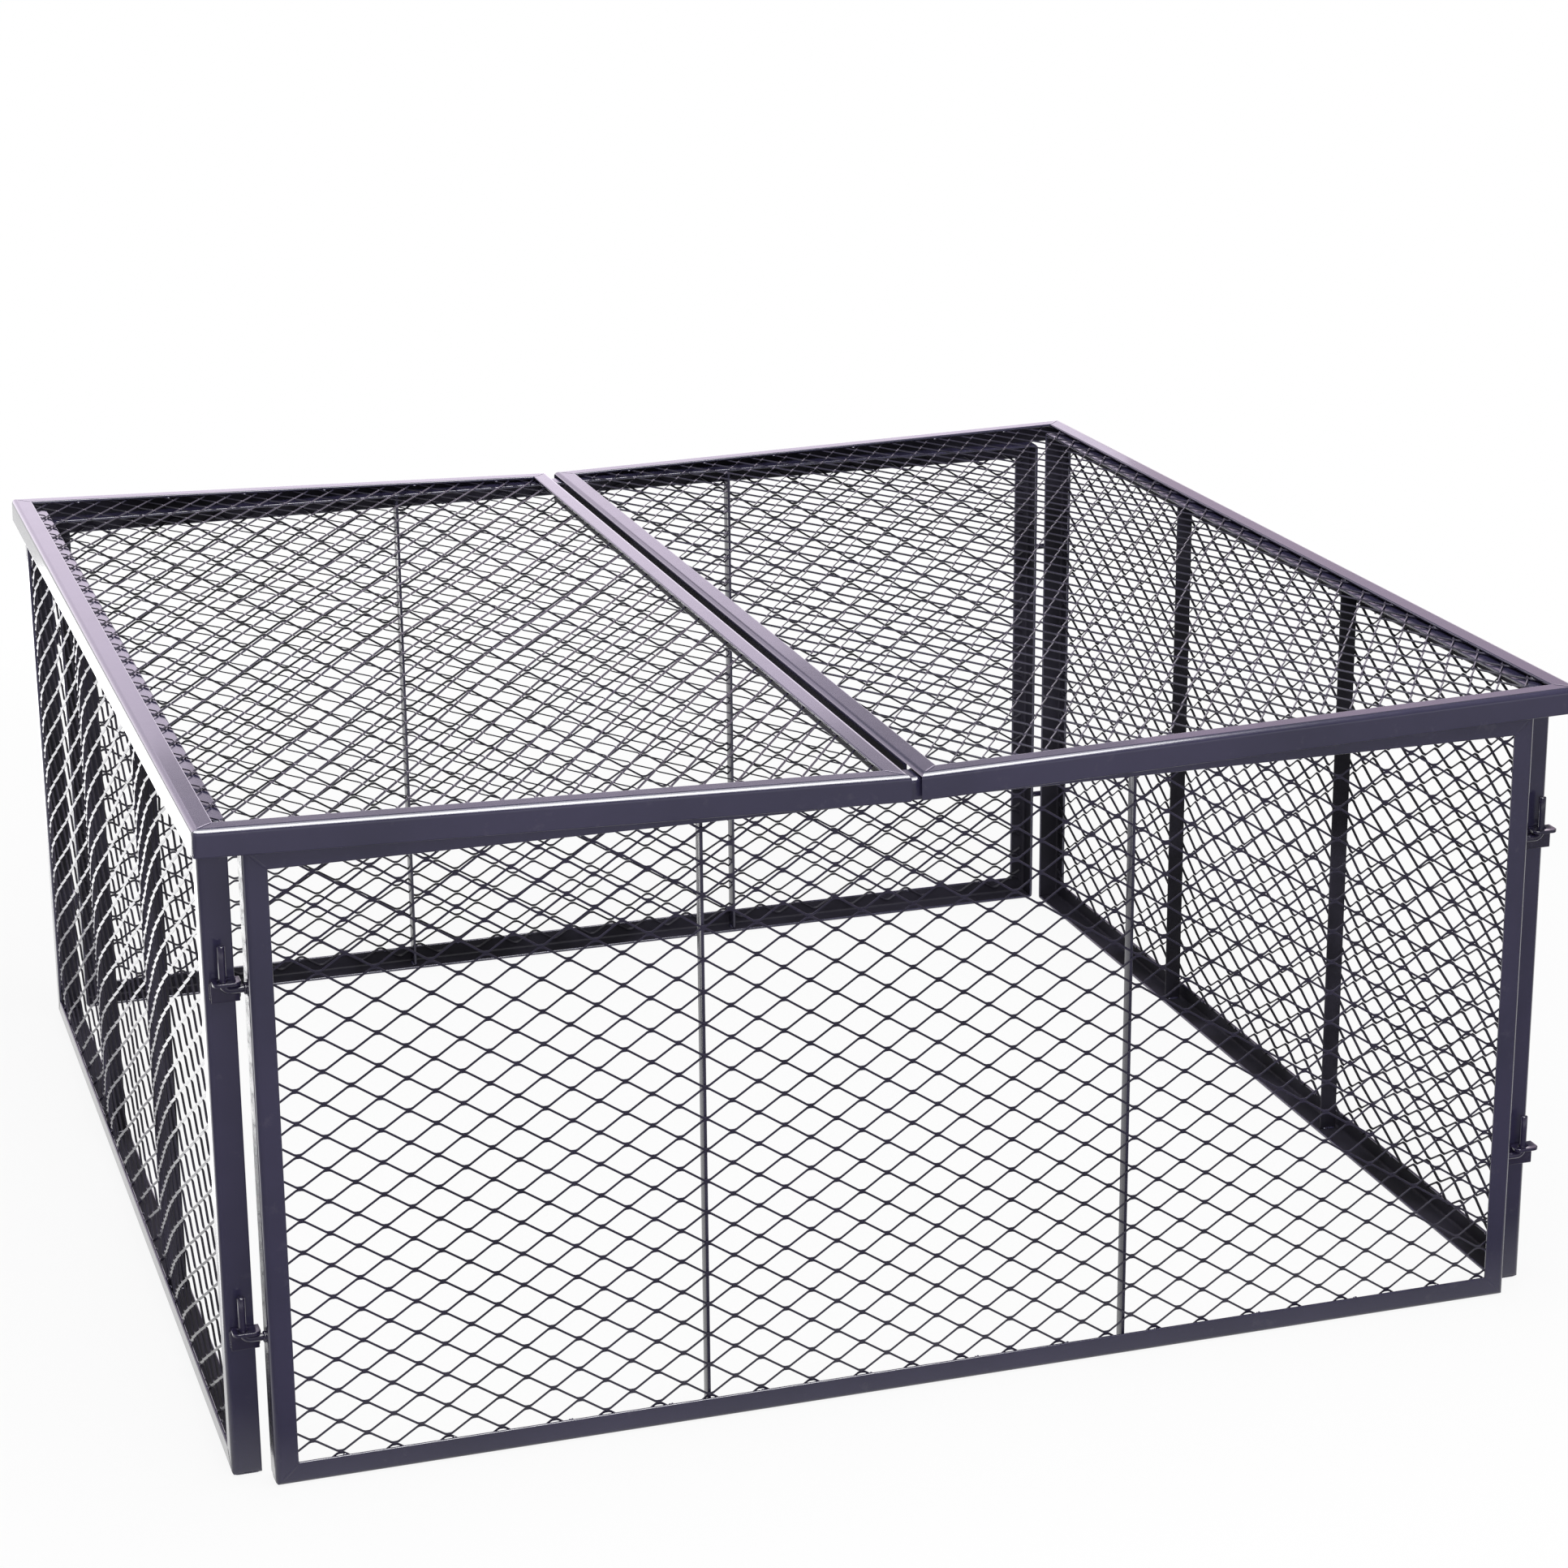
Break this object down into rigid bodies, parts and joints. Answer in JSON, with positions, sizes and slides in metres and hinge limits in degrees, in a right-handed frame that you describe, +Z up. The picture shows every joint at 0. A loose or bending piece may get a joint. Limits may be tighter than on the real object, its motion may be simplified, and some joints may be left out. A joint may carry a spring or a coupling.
{
  "type": "compost bin",
  "caption": "Square garden compost bin of expanded metal panels in angle iron frames, with side walls that lift off pins and a lid in two halves.",
  "frame": {"origin": "centre of the bin on the ground", "axes": "+Z up, the front wall faces -Y, +X to the right seen from the front"},
  "size_m": [1.3048, 1.298, 0.6214],
  "materials": {
    "frame_paint": "gloss slate grey paint over welded steel angle",
    "mesh_paint": "dark slate grey paint on expanded steel mesh",
    "latch_paint": "gloss slate grey paint on steel rod and clips"
  },
  "bodies": {
    "front_and_back_walls": {"front_wall_top_rail": "frame_paint", "front_wall_bottom_rail": "frame_paint", "front_wall_left_stile": "frame_paint", "front_wall_right_stile": "frame_paint", "front_wall_mesh": "mesh_paint", "front_wall_left_bar": "frame_paint", "front_wall_right_bar": "frame_paint", "back_wall_top_rail": "frame_paint", "back_wall_bottom_rail": "frame_paint", "back_wall_left_stile": "frame_paint", "back_wall_right_stile": "frame_paint", "back_wall_mesh": "mesh_paint", "back_wall_left_bar": "frame_paint", "back_wall_right_bar": "frame_paint", "pin_front_left_upper": "latch_paint", "pin_front_left_lower": "latch_paint", "pin_front_right_upper": "latch_paint", "pin_front_right_lower": "latch_paint", "pin_back_left_upper": "latch_paint", "pin_back_left_lower": "latch_paint", "pin_back_right_upper": "latch_paint", "pin_back_right_lower": "latch_paint"},
    "left_wall": {"left_wall_top_rail": "frame_paint", "left_wall_bottom_rail": "frame_paint", "left_wall_front_stile": "frame_paint", "left_wall_back_stile": "frame_paint", "left_wall_mesh": "mesh_paint", "left_wall_front_bar": "frame_paint", "left_wall_back_bar": "frame_paint", "clip_front_left_upper": "latch_paint", "clip_front_left_lower": "latch_paint", "clip_back_left_upper": "latch_paint", "clip_back_left_lower": "latch_paint"},
    "right_wall": {"right_wall_top_rail": "frame_paint", "right_wall_bottom_rail": "frame_paint", "right_wall_front_stile": "frame_paint", "right_wall_back_stile": "frame_paint", "right_wall_mesh": "mesh_paint", "right_wall_front_bar": "frame_paint", "right_wall_back_bar": "frame_paint", "clip_front_right_upper": "latch_paint", "clip_front_right_lower": "latch_paint", "clip_back_right_upper": "latch_paint", "clip_back_right_lower": "latch_paint"},
    "left_lid": {"left_lid_front_rail": "frame_paint", "left_lid_back_rail": "frame_paint", "left_lid_outer_rail": "frame_paint", "left_lid_inner_rail": "frame_paint", "left_lid_inner_rail_leg": "frame_paint", "left_lid_mesh": "mesh_paint"},
    "right_lid": {"right_lid_front_rail": "frame_paint", "right_lid_back_rail": "frame_paint", "right_lid_outer_rail": "frame_paint", "right_lid_inner_rail": "frame_paint", "right_lid_inner_rail_leg": "frame_paint", "right_lid_mesh": "mesh_paint"}
  },
  "joints": [
    {"name": "left_wall_lift", "type": "slide", "parent": "front_and_back_walls", "child": "left_wall", "axis": [0, 0, 1], "range_m": [0, 0.06]},
    {"name": "right_wall_lift", "type": "slide", "parent": "front_and_back_walls", "child": "right_wall", "axis": [0, 0, 1], "range_m": [0, 0.06]},
    {"name": "left_lid_lift", "type": "slide", "parent": "left_wall", "child": "left_lid", "axis": [0, 0, 1], "range_m": [0, 0.1]},
    {"name": "right_lid_lift", "type": "slide", "parent": "right_wall", "child": "right_lid", "axis": [0, 0, 1], "range_m": [0, 0.1]}
  ]
}
